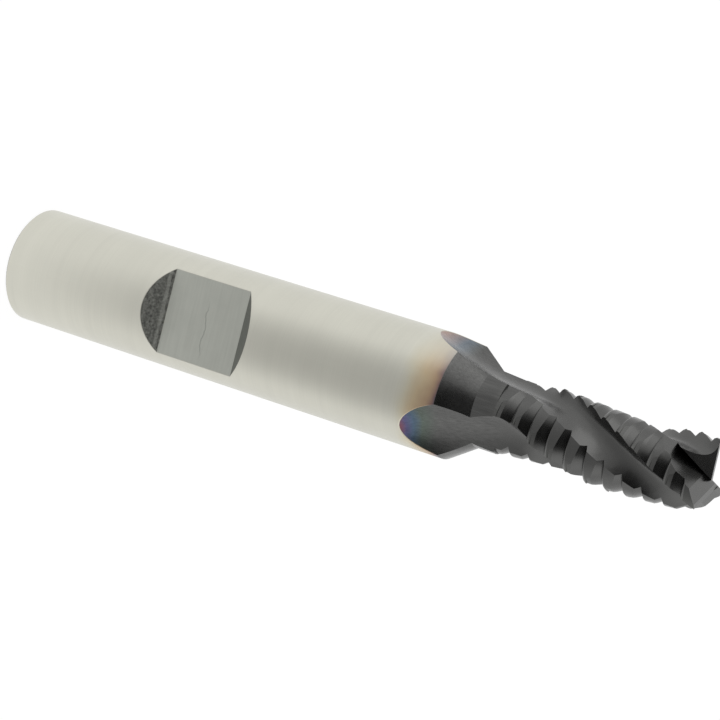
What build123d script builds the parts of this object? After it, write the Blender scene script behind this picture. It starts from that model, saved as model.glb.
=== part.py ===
"""Roughing end mill: one solid, standing on its shank end, tip up.

Origin at the centre of the shank's end face, +Z along the axis towards the tip,
+X out of the drive flat. Millimetres and degrees.
"""
import math
import os

from build123d import *

# Driving dimensions of the shank
overall_length = 61.9125
shank_diameter = 9.525
shank_edge_break = 0.15
flat_depth = 1.53
flat_length = 7.11
flat_centre = 18.8
flat_wall_angle = 45.0

# Driving dimensions of the cutter's blank
cutter_diameter = 6.35
neck_diameter = 6.25
shoulder_height = 40.9
cone_length = 2.4
teeth_length = 16.8

# Driving dimensions of the flutes and lands
flute_count = 3
helix_angle = 30.0
core_diameter = 3.9
tip_edge_angle = 43.5
root_lead_angle = 15.0
root_pull_in = 0.25
rake_hollow = 0.1
land_angle = 60.0
heel_drop = 0.41
heel_bulge = 0.03
relief_lead_in = 8.0

# Driving dimensions of the run-out scoops, as a wide wheel leaves them
wheel_radius = 21.3
wheel_crown = 5.7
wheel_height = 48.4
scoop_half_width = 4.3
scoop_lead_angle = 13.5
blend_height = 44.6

# Driving dimensions of the chip-breaking serrations
serration_pitch = 1.5875
serration_start = 0.38
serration_depth = 0.45
serration_drop = 0.24
tip_side_run = 0.93
crest_drop = 0.01
crest_width = 0.2
crest_slope = 8.0
crest_overlap = 0.12
shoulder_width = 0.25
shoulder_slope = 26.0

# Driving dimensions of the end teeth
long_tooth_ahead = 1.3
short_tooth_ahead = 0.0
dish_angle = 2.0
end_relief_angle = 7.0
end_relief_width = 0.45
end_clearance_width = 1.15
end_clearance_angle = 25.0
gash_wall_angle = 55.0
gash_angle = 30.0

# Sizes that follow from the driving dimensions
shank_radius = shank_diameter / 2
cutter_radius = cutter_diameter / 2
neck_radius = neck_diameter / 2
core_radius = core_diameter / 2
lead = math.pi * cutter_diameter / math.tan(math.radians(helix_angle))
teeth_start = overall_length - teeth_length
tooth_step = 360 / flute_count
relief_per_degree = heel_drop / land_angle
clear = 0.5
section_spacing = 2.2


def polar(radius, angle, height=None):
    """A point at a radius and an angle about the tool's axis."""
    x = radius * math.cos(math.radians(angle))
    y = radius * math.sin(math.radians(angle))
    return (x, y) if height is None else (x, y, height)


def edge_angle(height):
    """Where the first tooth's cutting edge stands at a height: a right-hand helix."""
    return tip_edge_angle - 360 * (overall_length - height) / lead


def land_radius(behind):
    """The relieved land's crest radius at an angle behind its cutting edge."""
    return cutter_radius - relief_per_degree * behind


def relief_curve(turn, away=0):
    """Control points along the land's relieved crest, or along the same curve further out."""
    ahead = -relief_lead_in
    behind = land_angle + 2 * relief_lead_in
    span = behind - ahead
    pull = 4 / 3 * math.tan(math.radians(span / 4))
    swing = math.degrees(math.atan(pull))
    placed = []
    for angle, reach in (
        (ahead, 1),
        (ahead + swing, math.hypot(1, pull)),
        (behind - swing, math.hypot(1, pull)),
        (behind, 1),
    ):
        placed.append(polar((land_radius(angle) + away) * reach, turn - angle))
    return placed


def stations(low, high):
    """Evenly spaced section heights from low to high."""
    count = math.ceil((high - low) / section_spacing)
    return [low + (high - low) * step / count for step in range(count + 1)]


def smooth(value):
    """An S-shaped step from 0 to 1."""
    value = min(max(value, 0), 1)
    return value * value * (3 - 2 * value)


def turned(point, angle):
    """A point of a section turned about the axis."""
    return Vector(*point).rotate(Axis.Z, angle)


# The flute's section, with the cutting edge on local X and the next land's heel ahead:
# one smooth curve down the hollow rake face, round the root and up the back to the heel.
edge = Vector(cutter_radius, 0)
root = Vector(*polar(core_radius, root_lead_angle))
rake_run = (edge - root).normalized()
rake_outer = edge + rake_run * clear
rake_pull = (root + edge) / 2 + rake_run.rotate(Axis.Z, -90) * 2 * rake_hollow
heel = Vector(*polar(land_radius(land_angle), tooth_step - land_angle))
heel_run = (heel - root).normalized()
back_outer = heel + heel_run * 1.6 * clear
back_pull = (root + back_outer) / 2 + heel_run.rotate(Axis.Z, -90) * 2 * heel_bulge
root_run = (root - (rake_outer + back_outer) / 2).normalized()
root_pull = root + root_run * root_pull_in
flute_far = polar(cutter_radius + 6 * clear, (tooth_step - land_angle) / 2)
flute_points = [rake_outer, rake_pull, root_pull, back_pull, back_outer, flute_far]
scoop_angle = edge_angle(wheel_height) + scoop_lead_angle


def scoop_points(height):
    """The run-out scoop's section, straight along the axis, in the same order of points."""
    run = max(wheel_height - height, 0)
    floor = core_radius + wheel_radius - math.sqrt(wheel_radius**2 - run**2)
    low = (floor, 0)
    far = (floor + shank_radius, 0)
    sides = []
    for side in (-scoop_half_width, scoop_half_width):
        rim = (floor + wheel_crown - math.sqrt(wheel_crown**2 - side**2), side)
        sides.append([rim, (floor, side / 2)])
    return [*sides[0], low, *reversed(sides[1]), far]


def flute_section(height):
    """The flute at a height: scoop below, helical flute above, blended between them."""
    share = smooth((height - blend_height) / (wheel_height - blend_height))
    turn = edge_angle(height)
    placed = []
    for helical, straight in zip(flute_points, scoop_points(height)):
        above = turned(helical, turn)
        below = turned(straight, scoop_angle)
        placed.append(above * share + below * (1 - share))
    return placed


# One flute with its run-out, from outside the shank to above the tip
exit_run = math.sqrt(wheel_radius**2 - (wheel_radius - shank_radius - clear + core_radius) ** 2)
with BuildPart() as flute:
    for height in stations(wheel_height - exit_run, overall_length + clear):
        rake_out, rake_pull, low, back_pull, back_out, far = flute_section(height)
        with BuildSketch(Plane.XY.offset(height)):
            with BuildLine():
                Bezier(rake_out, rake_pull, low, low, back_pull, back_out)
                Line(back_out, far)
                Line(far, rake_out)
            make_face()
    loft()

# The relief behind one tooth's edge, from the thread's start to above the tip
with BuildPart() as land_relief:
    for height in stations(teeth_start, overall_length + clear):
        crest = relief_curve(edge_angle(height))
        outer = relief_curve(edge_angle(height), heel_drop + clear)
        with BuildSketch(Plane.XY.offset(height)):
            with BuildLine():
                Bezier(*crest)
                Line(crest[-1], outer[-1])
                Bezier(*reversed(outer))
                Line(outer[0], crest[0])
            make_face()
    loft()

# The serration's valley across the thread line: local X towards the tip, local Y outwards.
# Each side rises in three steps, so that the lobe left between two valleys is rounded.
crest_fall = math.tan(math.radians(crest_slope))
knee_height = -crest_drop - crest_width * crest_fall
flank_top = knee_height - shoulder_width * math.tan(math.radians(shoulder_slope))
valley_share = tip_side_run / serration_pitch
valley_half = []
for run, side in ((tip_side_run, -1), (serration_pitch - tip_side_run, 1)):
    valley_half.append(
        [
            (side * (run + crest_overlap), crest_overlap * crest_fall - crest_drop),
            (side * (run - crest_width), knee_height),
            (side * (run - crest_width - shoulder_width), flank_top),
        ]
    )
valley_line = [*valley_half[0], (0, -serration_depth), *reversed(valley_half[1])]


def serration_height(land, index):
    """Where a groove's bottom crosses its land's cutting edge on a left-hand thread line."""
    turn_at_tip = (tip_edge_angle + land * tooth_step) / 360
    thread = serration_pitch * (index + valley_share - turn_at_tip)
    per_lead = serration_pitch / lead
    return (teeth_start + serration_start + thread + per_lead * overall_length) / (1 + per_lead)


def serration(land, height):
    """One groove across one land: it follows the thread line and falls less than the crest."""
    at_edge = edge_angle(height) + land * tooth_step
    line = []
    for behind in (land_angle * 1.4, land_angle * 0.6, -12):
        rise = serration_pitch * behind / 360
        radius = cutter_radius - serration_drop * behind / land_angle
        line.append(Vector(*polar(radius, at_edge - behind, height + rise)))
    path = ThreePointArc(*line)
    outwards = line[0] - path.arc_center
    with BuildPart() as groove:
        with BuildSketch(Plane(origin=line[0], x_dir=outwards.cross(path % 0), z_dir=path % 0)):
            with BuildLine():
                top = [(valley_line[-1][0], clear), (valley_line[0][0], clear)]
                Polyline(*valley_line, *top, close=True)
            make_face()
        sweep_angle = math.degrees(path.length / path.radius)
        revolve(axis=Axis(path.arc_center, path.normal()), revolution_arc=sweep_angle)
    return groove.part


def edge_plane(land, ahead):
    """An end cutting edge: origin at the outer corner, Z inwards along it, X behind, Y up."""
    angle = tip_edge_angle + land * tooth_step
    dish = cutter_radius * math.tan(math.radians(dish_angle))
    corner = Vector(*polar(cutter_radius, angle, overall_length))
    inner = Vector(*polar(ahead, angle + 90, overall_length - dish))
    inwards = (inner - corner).normalized()
    return Plane(origin=corner, x_dir=Vector(0, 0, 1).cross(inwards), z_dir=inwards)


def gash_plane(land, ahead):
    """The gash's face, which holds the end cutting edge and leans ahead as it goes down."""
    base = edge_plane(land, ahead)
    lean = math.radians(gash_angle)
    facing = base.y_dir * math.sin(lean) - base.x_dir * math.cos(lean)
    return Plane(origin=base.origin, z_dir=facing)


def end_relief(land, ahead, limit, side):
    """All that one tooth's end relief, clearance and gash wall take away, up to a gash."""
    line = [(0, 0)]
    for width, angle in (
        (end_relief_width, end_relief_angle),
        (end_clearance_width, end_clearance_angle),
        (cutter_diameter, gash_wall_angle),
    ):
        behind, up = line[-1]
        line.append((behind + width, up - width * math.tan(math.radians(angle))))
    with BuildPart() as removed:
        with BuildSketch(edge_plane(land, ahead).offset(-clear)):
            with BuildLine():
                Polyline(*line, (line[-1][0], clear), (0, clear), close=True)
            make_face()
        extrude(amount=cutter_diameter + 2 * clear)
        split(bisect_by=limit, keep=side)
    return removed.part


long_gash = gash_plane(0, long_tooth_ahead)
far_gash = gash_plane(1, short_tooth_ahead)
near_gash = gash_plane(2, short_tooth_ahead)

with BuildPart() as end_mill:
    # The turned blank: shank, cone, neck and cutter in one profile
    with BuildSketch(Plane.XZ):
        with BuildLine():
            Polyline(
                (0, 0),
                (shank_radius - shank_edge_break, 0),
                (shank_radius, shank_edge_break),
                (shank_radius, shoulder_height),
                (neck_radius, shoulder_height + cone_length),
                (neck_radius, teeth_start),
                (cutter_radius, teeth_start),
                (cutter_radius, overall_length),
                (0, overall_length),
                close=True,
            )
        make_face()
    revolve(axis=Axis.Z)

    # The drive flat, with sloped end walls
    with BuildSketch(Plane.XZ):
        with BuildLine():
            wall_run = (flat_depth + clear) / math.tan(math.radians(flat_wall_angle))
            Polyline(
                (shank_radius - flat_depth, flat_centre - flat_length / 2),
                (shank_radius - flat_depth, flat_centre + flat_length / 2),
                (shank_radius + clear, flat_centre + flat_length / 2 + wall_run),
                (shank_radius + clear, flat_centre - flat_length / 2 - wall_run),
                close=True,
            )
        make_face()
    extrude(amount=shank_radius, both=True, mode=Mode.SUBTRACT)

    # Serrations, one groove to a pitch on each land. Every other one is cut first.
    lowest = teeth_start + 0.4 * serration_pitch
    highest = overall_length - 0.2 * serration_pitch
    most = math.ceil(teeth_length / serration_pitch) + 1
    for first in (0, 1):
        grooves = []
        for land in range(flute_count):
            for index in range(first, most, 2):
                if lowest < serration_height(land, index) < highest:
                    grooves.append(serration(land, serration_height(land, index)))
        add(grooves, mode=Mode.SUBTRACT)

    # The lands' relief, then the flutes with their run-outs
    with PolarLocations(0, flute_count):
        add(land_relief.part, mode=Mode.SUBTRACT)
    with PolarLocations(0, flute_count):
        add(flute.part, mode=Mode.SUBTRACT)

    # End teeth: one long tooth across the centre and two short ones that stop at it
    add(end_relief(0, long_tooth_ahead, near_gash, Keep.TOP), mode=Mode.SUBTRACT)
    add(end_relief(0, long_tooth_ahead, far_gash, Keep.BOTTOM), mode=Mode.SUBTRACT)
    add(end_relief(1, short_tooth_ahead, long_gash, Keep.TOP), mode=Mode.SUBTRACT)
    add(end_relief(2, short_tooth_ahead, far_gash, Keep.TOP), mode=Mode.SUBTRACT)

end_mill.part.label = "end_mill"
os.makedirs("parts", exist_ok=True)
export_step(end_mill.part, "parts/end_mill.step")
print("end_mill", len(end_mill.part.solids()), "solid,", round(end_mill.part.volume, 1), "cubic mm")
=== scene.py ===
# %% [markdown]
# # A roughing end mill, finished in procedural materials
# The real tool is one bar of tool steel. Its shank is ground bright to fit a holder, one
# flat is milled into it for a set screw, and the cutting half carries a thin, hard, dark
# coating that was laid on in a furnace. That heat turned the steel beside it straw and
# brown. The shape comes ready from the CAD model, so this lesson is about one material
# that tells, from a point's height and its distance from the axis, which finish belongs
# there.

import math

import bpy
import numpy as np
from mathutils import Matrix, Vector

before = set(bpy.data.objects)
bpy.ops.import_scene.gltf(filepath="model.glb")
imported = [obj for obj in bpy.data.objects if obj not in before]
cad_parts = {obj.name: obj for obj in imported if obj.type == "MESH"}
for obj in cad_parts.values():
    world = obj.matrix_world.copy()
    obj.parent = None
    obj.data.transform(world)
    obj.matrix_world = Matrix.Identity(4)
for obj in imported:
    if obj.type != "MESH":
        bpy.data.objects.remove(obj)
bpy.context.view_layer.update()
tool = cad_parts["end_mill"]
mm = 0.001

# %% [markdown]
# ## The camera first
# The tool stands on its shank end here. The photographer's lens was long, looked down on
# the tool's side, and was turned almost a quarter round, so that the tool lies across the
# picture. The place and the two directions below were solved from measured outline points.

# %% Place the camera
lens_place = Vector((166.64717, -21.57711, 116.58705)) * mm
looking = Vector((-0.88516331, 0.11173428, -0.4516651)).normalized()
picture_up = Vector((0.01727374, -0.96217646, -0.27187881)).normalized()
picture_right = looking.cross(picture_up).normalized()
sensor_width_mm, focal_length_mm = 36, 120
nearest, farthest = 1 * mm, 10
camera_data = bpy.data.cameras.new("camera")
camera_data.sensor_width = sensor_width_mm
camera_data.lens = focal_length_mm
camera_data.clip_start = nearest
camera_data.clip_end = farthest
camera = bpy.data.objects.new("camera", camera_data)
camera_axes = Matrix((picture_right, looking.cross(-picture_right), -looking)).transposed()
camera.matrix_world = Matrix.Translation(lens_place) @ camera_axes.to_4x4()
bpy.context.scene.collection.objects.link(camera)
bpy.context.scene.camera = camera
print("camera looks down by", round(math.degrees(math.asin(-looking.z)), 2), "degrees")

# %% [markdown]
# ## Shader maths as Python
# A material is a graph of small nodes. Writing `wear * 0.3 + 0.1` is easier to read than
# wiring two Math nodes, so a socket is wrapped in a class whose operators add the nodes.


# %% One class for values, one method for every other node
class Value:
    """An output socket that takes part in sums: each operator adds one Math node."""

    def __init__(self, graph, socket):
        self.graph = graph
        self.socket = socket

    def math(self, operation, *others):
        """One Math node on this value and the others."""
        inputs = dict(enumerate((self, *others)))
        return self.graph.node("ShaderNodeMath", {"operation": operation}, inputs)

    def __add__(self, other):
        return self.math("ADD", other)

    def __sub__(self, other):
        return self.math("SUBTRACT", other)

    def __rsub__(self, other):
        return self.graph.constant(other).math("SUBTRACT", self)

    def __mul__(self, other):
        return self.math("MULTIPLY", other)

    def __truediv__(self, other):
        return self.math("DIVIDE", other)

    def __pow__(self, other):
        return self.math("POWER", other)

    def __abs__(self):
        return self.math("ABSOLUTE")

    def __or__(self, other):
        return self.math("MAXIMUM", other)

    def __and__(self, other):
        return self.math("MINIMUM", other)

    __radd__ = __add__
    __rmul__ = __mul__

    def step(self, low, high):
        """0 at low, 1 at high, and t * t * (3 - 2 * t) between; low may be the greater."""
        inputs = {0: self, 1: low, 2: high}
        if low > high:
            inputs = {0: self, 1: high, 2: low, 3: 1, 4: 0}
        settings = {"interpolation_type": "SMOOTHSTEP"}
        return self.graph.node("ShaderNodeMapRange", settings, inputs)

    def swing(self, amount):
        """Noise around 0.5 as a change around 0: (noise - 0.5) * amount."""
        return (self - 0.5) * amount


class Graph:
    """The nodes of one material or of the world."""

    def __init__(self, tree):
        self.tree = tree
        self.tree.nodes.clear()

    def node(self, kind, settings=None, values=None, output=0):
        """Any node: its settings first, then the values or links of its sockets."""
        made = self.tree.nodes.new(kind)
        for name, setting in (settings or {}).items():
            if name == "stops":
                self.set_stops(made.color_ramp, setting)
            else:
                setattr(made, name, setting)
        for name, value in (values or {}).items():
            if isinstance(value, Value):
                self.tree.links.new(value.socket, made.inputs[name])
            else:
                made.inputs[name].default_value = value
        return Value(self, made.outputs[output]) if made.outputs else made

    def set_stops(self, ramp, stops):
        """A ramp's stops as pairs of place and colour."""
        while len(ramp.elements) < len(stops):
            ramp.elements.new(0.5)
        for element, (place, colour) in zip(ramp.elements, stops):
            element.position = place
            element.color = colour

    def constant(self, number):
        """A number as a value, for the left side of a difference."""
        return self.node("ShaderNodeMath", {"operation": "ADD"}, {0: number, 1: 0})

    def colour_mix(self, amount, below, above):
        """The colour below, covered by the one above where amount is 1."""
        inputs = {0: amount, 6: below, 7: above}
        return self.node("ShaderNodeMix", {"data_type": "RGBA"}, inputs, output=2)

    def shade(self, colour, factor):
        """A colour made brighter or darker by a factor that changes over the surface."""
        colour = colour if isinstance(colour, Value) else colour[:3]
        inputs = {0: colour, 3: factor}
        return self.node("ShaderNodeVectorMath", {"operation": "SCALE"}, inputs)

    def noise(self, x, y, z, detail=3):
        """Noise around 0.5 at the place x, y, z; its coarsest lumps are about 1 across."""
        place = self.node("ShaderNodeCombineXYZ", None, {0: x, 1: y, 2: z})
        inputs = {"Vector": place, "Scale": 1, "Detail": detail}
        return self.node("ShaderNodeTexNoise", None, inputs)


def linear(part):
    """The sRGB curve backwards: a part of 0 to 255 as a share of linear light.

    c / 12.92 for dark parts, ((c + 0.055) / 1.055) ** 2.4 for all others.
    """
    share = part / 255
    return share / 12.92 if share <= 0.04045 else ((share + 0.055) / 1.055) ** 2.4


def seen(red, green, blue):
    """A colour as it is seen on a screen, as the linear colour that shaders use."""
    return (linear(red), linear(green), linear(blue), 1)


white = seen(255, 255, 255)
print("a mid grey of 128 is", round(linear(128), 3), "in linear light")

# %% [markdown]
# ## The light tent
# Bright metal shows what stands round it. Small tools are photographed in a tent of white
# cloth, with the camera looking in through a dark opening: the faces that mirror that
# opening look black, and all others mirror white cloth. The opening's middle is a little
# above and beside the lens, as the black faces show. The same brightness is used for the
# sky of the scene and for the floor, by direction from the tool, so the metal sees one
# seamless tent.


# %% The tent's brightness by direction
tent_middle = Vector((0, 0, 32)) * mm


def towards(turn, rise):
    """A unit direction from its angle round Z and its angle above the floor, in degrees.

    (cos turn * cos rise, sin turn * cos rise, sin rise)
    """
    turn, rise = math.radians(turn), math.radians(rise)
    across = math.cos(rise)
    return Vector((math.cos(turn) * across, math.sin(turn) * across, math.sin(rise)))


to_opening = towards(turn=12, rise=36)
to_shaded_side = towards(turn=10, rise=0)
opening_rim = math.cos(math.radians(46))
opening_core = math.cos(math.radians(24))
opening_darkness = 0.94
shade_start, shade_full = 0.2, 0.98
shade_darkness = 0.42


def lean(graph, way, fixed):
    """How far a direction leans towards a fixed one: 1 along it, 0 across it."""
    inputs = {0: way, 1: fixed}
    return graph.node("ShaderNodeVectorMath", {"operation": "DOT_PRODUCT"}, inputs, output=1)


def tent(graph, way):
    """White cloth, shaded on the lens's side, with the dark opening round the lens."""
    opening = lean(graph, way, to_opening).step(opening_rim, opening_core)
    shaded = lean(graph, way, to_shaded_side).step(shade_start, shade_full)
    return (1 - opening * opening_darkness) * (1 - shaded * shade_darkness)


def ray_kinds(graph):
    """Two values: 1 where the camera looks, straight or through glass, and 1 in mirrors."""
    path = graph.tree.nodes.new("ShaderNodeLightPath")
    kinds = ("Is Camera Ray", "Is Transmission Ray", "Is Glossy Ray")
    straight, refracted, mirrored = (Value(graph, path.outputs[kind]) for kind in kinds)
    return straight | refracted, mirrored


world = bpy.data.worlds.new("light_tent")
world.use_nodes = True
bpy.context.scene.world = world
sky = Graph(world.node_tree)
sky_way = sky.node("ShaderNodeTexCoord", output="Generated")
sky_seen, sky_mirrored = ray_kinds(sky)
soft_light = 0.8
sky_light = sky_mirrored * tent(sky, sky_way) + (1 - sky_mirrored) * soft_light
sky_strength = sky_seen + (1 - sky_seen) * sky_light
backdrop = sky.node("ShaderNodeBackground", None, {"Color": white, "Strength": sky_strength})
sky.node("ShaderNodeOutputWorld", None, {"Surface": backdrop})
print("the tent's opening is", round(math.degrees(math.asin(to_opening.z)), 1), "degrees up")

# %% [markdown]
# ## Floor and lamps
# The floor is a plain pale sheet. To the camera it is nearly pure white, but a small part
# of it stays an ordinary lit surface, so that the tool keeps its soft shadow. Most of the
# light is the tent's own: one broad, weak lamp above and one at each side add to it.


# %% The floor
def sheet_points(half_side, count):
    """A flat square grid: x and y run evenly from minus half_side to half_side, z is 0."""
    run = np.linspace(-half_side, half_side, count)
    x, y = np.meshgrid(run, run, indexing="ij")
    return np.stack([x, y, np.zeros_like(x)], axis=-1)


def grid_mesh(name, points):
    """A mesh from a grid of points: each cell of four neighbours is one face."""
    rows, columns = points.shape[:2]
    first = np.arange(rows * columns).reshape(rows, columns)
    corners = (first[:-1, :-1], first[1:, :-1], first[1:, 1:], first[:-1, 1:])
    faces = np.stack([c.ravel() for c in corners], axis=-1)
    mesh = bpy.data.meshes.new(name)
    mesh.from_pydata(points.reshape(-1, 3).tolist(), [], faces.tolist())
    return mesh


half_side = 0.8
points_a_side = 9
floor_mesh = grid_mesh("floor", sheet_points(half_side, points_a_side))
floor = bpy.data.objects.new("floor", floor_mesh)
bpy.context.scene.collection.objects.link(floor)
floor_material = bpy.data.materials.new("pale_sheet")
floor_material.use_nodes = True
sheet = Graph(floor_material.node_tree)
floor_place = sheet.node("ShaderNodeTexCoord", output="Object")
offset = {0: floor_place, 1: tent_middle}
from_tool = sheet.node("ShaderNodeVectorMath", {"operation": "SUBTRACT"}, offset)
floor_way = sheet.node("ShaderNodeVectorMath", {"operation": "NORMALIZE"}, {0: from_tool})
floor_seen, floor_mirrored = ray_kinds(sheet)
full_white = 1.05
shadow_share = 0.12
glow = floor_seen * full_white + floor_mirrored * tent(sheet, floor_way)
glow_share = (floor_seen * (1 - shadow_share)) | floor_mirrored
lit = sheet.node("ShaderNodeBsdfDiffuse", None, {"Color": seen(244, 244, 242)})
glowing = sheet.node("ShaderNodeEmission", None, {"Color": white, "Strength": glow})
pale = sheet.node("ShaderNodeMixShader", None, {0: glow_share, 1: lit, 2: glowing})
sheet.node("ShaderNodeOutputMaterial", None, {"Surface": pale})
floor.data.materials.append(floor_material)
print("floor is", round(2 * half_side, 1), "m across")


# %% The lamps
def lamp(name, place, size, power):
    """A square area lamp that faces the tool, unseen by the camera; metres and watts."""
    data = bpy.data.lights.new(name, "AREA")
    data.shape = "SQUARE"
    data.size = size
    data.energy = power
    made = bpy.data.objects.new(name, data)
    made.location = place
    made.rotation_mode = "QUATERNION"
    made.rotation_quaternion = (tent_middle - Vector(place)).to_track_quat("-Z", "Y")
    made.visible_camera = False
    bpy.context.scene.collection.objects.link(made)
    return made


lamps = [
    lamp("lamp_above", place=(0.02, 0.02, 0.36), size=0.30, power=0.12),
    lamp("lamp_left", place=(0.08, -0.30, 0.12), size=0.24, power=0.12),
    lamp("lamp_right", place=(0.08, 0.30, 0.12), size=0.24, power=0.04),
]
print(len(lamps), "lamps")

# %% [markdown]
# ## Where each finish is
# The tool is round about the Z axis, so height and distance from the axis say almost
# everything. Whatever lies inside the ground cylinder was cut later: the drive flat low on
# the shank, and the scooped ends of the flutes high on it. A zone is 1 inside and 0
# outside. Here and in the cells below, each pair of numbers says where a zone is still 0
# and where it has reached 1.

# %% Heights and distances in mm as values
mm_per_metre = 1000
shank_skin = (4.738, 4.71)
scoop_bottom = (36.0, 36.2)
coating_bottom = (40.84, 40.92)
flat_top = (25.0, 24.8)
flat_depth = 3.2325
flat_skin = (0.03, 0.015)
steel_material = bpy.data.materials.new("ground_steel_and_coating")
steel_material.use_nodes = True
steel = Graph(steel_material.node_tree)
place = steel.node("ShaderNodeTexCoord", output="Object")
x, y, z = (
    steel.node("ShaderNodeSeparateXYZ", None, {0: place}, output=axis) * mm_per_metre
    for axis in range(3)
)
radius = (x * x + y * y) ** 0.5
angle = y.math("ARCTAN2", x)
inside_shank = radius.step(*shank_skin)
scooped = inside_shank & z.step(*scoop_bottom)
coated = z.step(*coating_bottom) | scooped
milled = inside_shank & z.step(*flat_top)
flat_floor = milled & abs(x - flat_depth).step(*flat_skin)
print("coating starts at", coating_bottom[1], "mm, and lower inside the scoops")

# %% [markdown]
# ## The ground shank
# Grinding leaves very fine lines round the bar. They are far thinner than a pixel, so what
# shows is a faint banding along the bar and a broad, satin highlight. Handling leaves
# cloudy patches, where colour and gloss change a little.

# %% Shank colour, lines and clouds
clear_steel = seen(206, 205, 194)
round_lines = steel.noise(angle * 0.35, 0, z * 9)
wide_bands = steel.noise(angle * 0.2, 3, z * 0.9)
clouds = steel.noise(x * 0.16, y * 0.16, z * 0.12)
shank_light = 1 + round_lines.swing(0.10) + wide_bands.swing(0.10) + clouds.swing(0.16)
shank_colour = steel.shade(clear_steel, shank_light)
shank_rough = 0.34 + clouds.swing(0.16) + round_lines.swing(0.08)
print(len(steel.tree.nodes), "nodes so far")

# %% [markdown]
# ## Heat tint
# Near the coating the steel has been hot, and its oxide film shows straw, then brown, then
# a thin purple line. The film reaches further down in some places than in others, so its
# height is shifted by a slow noise. It is weaker on the side that is uppermost in the
# picture, where y is negative.

# %% Straw to purple
tint_bottom, tint_reach = 36.9, 4.0
tint_cover_rise = (0.0, 0.4)
full_tint_side = (-4.2, -1.5)
least_tint = 0.25
tint_shift = steel.noise(angle * 1.3, 7, z * 0.3).swing(2.2)
tint_height = (z + tint_shift - tint_bottom) / tint_reach
tint_stops = [
    (0.0, clear_steel),
    (0.35, seen(204, 198, 178)),
    (0.62, seen(196, 178, 148)),
    (0.82, seen(176, 152, 126)),
    (0.93, seen(140, 116, 108)),
    (1.0, seen(104, 92, 100)),
]
tint = steel.node("ShaderNodeValToRGB", {"stops": tint_stops}, {0: tint_height})
tint_strength = least_tint + y.step(*full_tint_side) * (1 - least_tint)
tint_cover = tint_height.step(*tint_cover_rise) * tint_strength
shank_colour = steel.colour_mix(tint_cover, shank_colour, steel.shade(tint, shank_light))
print(len(tint_stops), "stops from clear steel to purple")

# %% [markdown]
# ## The drive flat
# A milled floor is greyer than the ground bar, with faint cutter lines and one wavering
# scratch across it. Its wall on the shank side was left rough and dark, with a brighter
# line at its foot.

# %% Flat floor and walls
cut_lines = steel.noise(x, y * 0.25, z * 6, detail=4)
blotches = steel.noise(x, y * 0.8, z * 0.8)
scratch_middle_y, scratch_middle_z, scratch_slope = 0.6, 19.0, 0.04
scratch_thickness = (0.07, 0.02)
scratch_ends = (2.6, 1.2)
scratch_wave = steel.noise(0, y * 0.9, 5, detail=2).swing(0.7)
above_scratch = z - scratch_middle_z - y * scratch_slope + scratch_wave
along_scratch = y - scratch_middle_y
scratch = abs(above_scratch).step(*scratch_thickness) * abs(along_scratch).step(*scratch_ends)
floor_light = 1 + cut_lines.swing(0.16) + blotches.swing(0.10) - scratch * 0.28
floor_colour = steel.shade(seen(188, 190, 182), floor_light)
mottle = steel.noise(x * 5, y * 5, z * 5, detail=5)
streaks = steel.noise(x * 6, y * 1.2, z * 6)
wall_light = 0.72 + mottle.swing(1.6) + streaks.swing(0.6)
low_wall_top = (16.0, 15.9)
foot_height = 14.98
foot_thickness = (0.16, 0.05)
low_wall = z.step(*low_wall_top)
wall_foot = abs(z - foot_height - streaks.swing(0.3)).step(*foot_thickness)
low_wall_colour = steel.shade(seen(146, 147, 141), wall_light + wall_foot * 0.5)
high_wall_colour = seen(122, 124, 119)
wall_colour = steel.colour_mix(low_wall, high_wall_colour, low_wall_colour)
print("flat floor lies", flat_depth, "mm from the axis")

# %% [markdown]
# ## The dark coating
# The coating is dark grey, hard, and nearly as glossy as the ground surface under it. Its
# outermost edges are painted a little lighter, a painted highlight along the crests. In the
# scoops it thins out towards the shank, and there the film is thin enough to show colours:
# maroon at the very edge, then blue, then a grey olive. In the scoop that is uppermost in
# the picture the film is thinner still, and paler.

# %% Coating colour and the coloured film at the scoops' ends
grind_lines = steel.noise(x * 7, y * 7, z * 0.35)
patches = steel.noise(x * 0.7, y * 0.7, z * 0.5)
grains = steel.noise(x * 11, y * 11, z * 11, detail=2)
dark_coat = seen(92, 92, 91)
coat_light = 1 + patches.swing(0.24) + grains.swing(0.12)
coat_colour = steel.shade(dark_coat, coat_light)
# Painted highlight: the outermost edges of the crests are lightened towards a paler grey.
crest_highlight_radius, crest_highlight_height = (2.98, 3.2), (44.5, 45.5)
crest_highlight_share = 0.25
crest_painted_highlight = radius.step(*crest_highlight_radius) * z.step(*crest_highlight_height) * crest_highlight_share
coat_colour = steel.colour_mix(crest_painted_highlight, coat_colour, seen(124, 125, 121))
film_stops = [
    (0.0, seen(124, 78, 74)),
    (0.10, seen(114, 76, 84)),
    (0.22, seen(84, 82, 112)),
    (0.38, seen(76, 92, 108)),
    (0.58, seen(86, 94, 88)),
    (1.0, dark_coat),
]
thin_film_stops = [
    (0.0, seen(178, 150, 136)),
    (0.3, seen(150, 138, 136)),
    (0.6, seen(112, 120, 128)),
    (1.0, seen(104, 106, 104)),
]
film_bottom, film_reach = 37.8, 3.2
film_end = (1.1, 0.7)
thin_film_side = (-2.0, -3.2)
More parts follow.
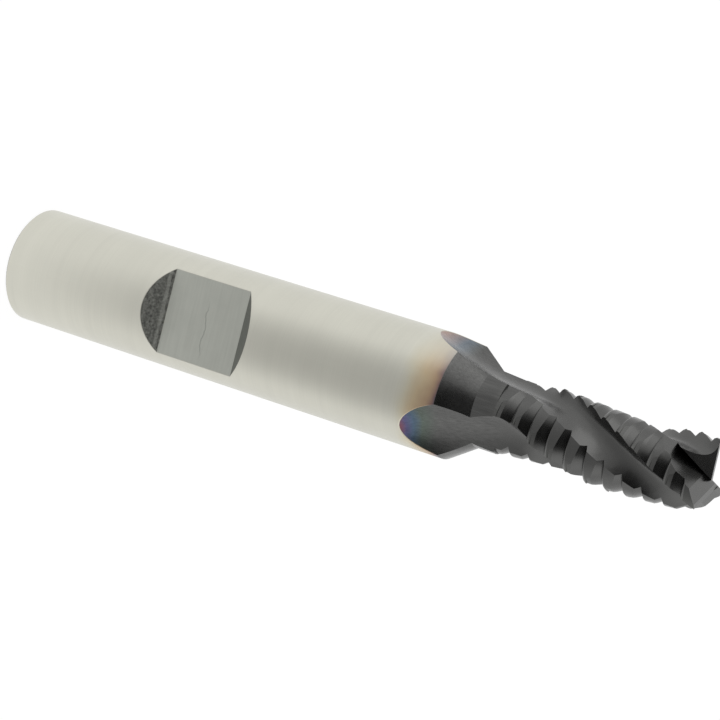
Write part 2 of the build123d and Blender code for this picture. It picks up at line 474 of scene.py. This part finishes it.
film_height = (z - film_bottom + patches.swing(0.6)) / film_reach
film = steel.node("ShaderNodeValToRGB", {"stops": film_stops}, {0: film_height})
thin_film = steel.node("ShaderNodeValToRGB", {"stops": thin_film_stops}, {0: film_height})
film = steel.colour_mix(y.step(*thin_film_side), film, thin_film)
film_cover = scooped * film_height.step(*film_end)
coat_colour = steel.colour_mix(film_cover, coat_colour, film)
grind_lines_end = (46.5, 44.5)
scoop_zone = z.step(*grind_lines_end)
coat_colour = steel.shade(coat_colour, 1 + grind_lines.swing(0.7) * scoop_zone)
coat_rough = 0.27 + patches.swing(0.14) + grains.swing(0.10)
print(len(film_stops), "stops in the coloured film")

# %% [markdown]
# ## One surface from all the finishes
# The finishes are laid over one another: flat over shank, coating over both. The whole
# tool is metal. A bump of at most a few hundredths of a millimetre carries the fine lines,
# so that they break up highlights too.

# %% Put the finishes together
bare_colour = steel.colour_mix(milled, shank_colour, wall_colour)
bare_colour = steel.colour_mix(flat_floor, bare_colour, floor_colour)
walls = milled - flat_floor
bare_rough = shank_rough + walls * 0.16 + flat_floor * 0.10
base_colour = steel.colour_mix(coated, bare_colour, coat_colour)
roughness = bare_rough + coated * (coat_rough - bare_rough)
bare_relief = round_lines * (1 - milled) * 0.6 + walls * mottle * 5
coat_relief = grind_lines * scoop_zone * 0.8 + grains * 0.4
height = bare_relief * (1 - coated) + coated * coat_relief
bump = {"Strength": 0.35, "Distance": 0.01 * mm, "Height": height}
relief = steel.node("ShaderNodeBump", None, bump)
finish = {
    "Base Color": base_colour,
    "Roughness": roughness,
    "Metallic": 1,
    "Normal": relief,
}
surface = steel.node("ShaderNodeBsdfPrincipled", None, finish)
steel.node("ShaderNodeOutputMaterial", None, {"Surface": surface})
tool.data.materials.clear()
tool.data.materials.append(steel_material)
print(len(steel.tree.nodes), "nodes in the tool's material")

# %% [markdown]
# The Standard view shows colours about as they were written.

# %% View settings
bpy.context.scene.view_settings.view_transform = "Standard"
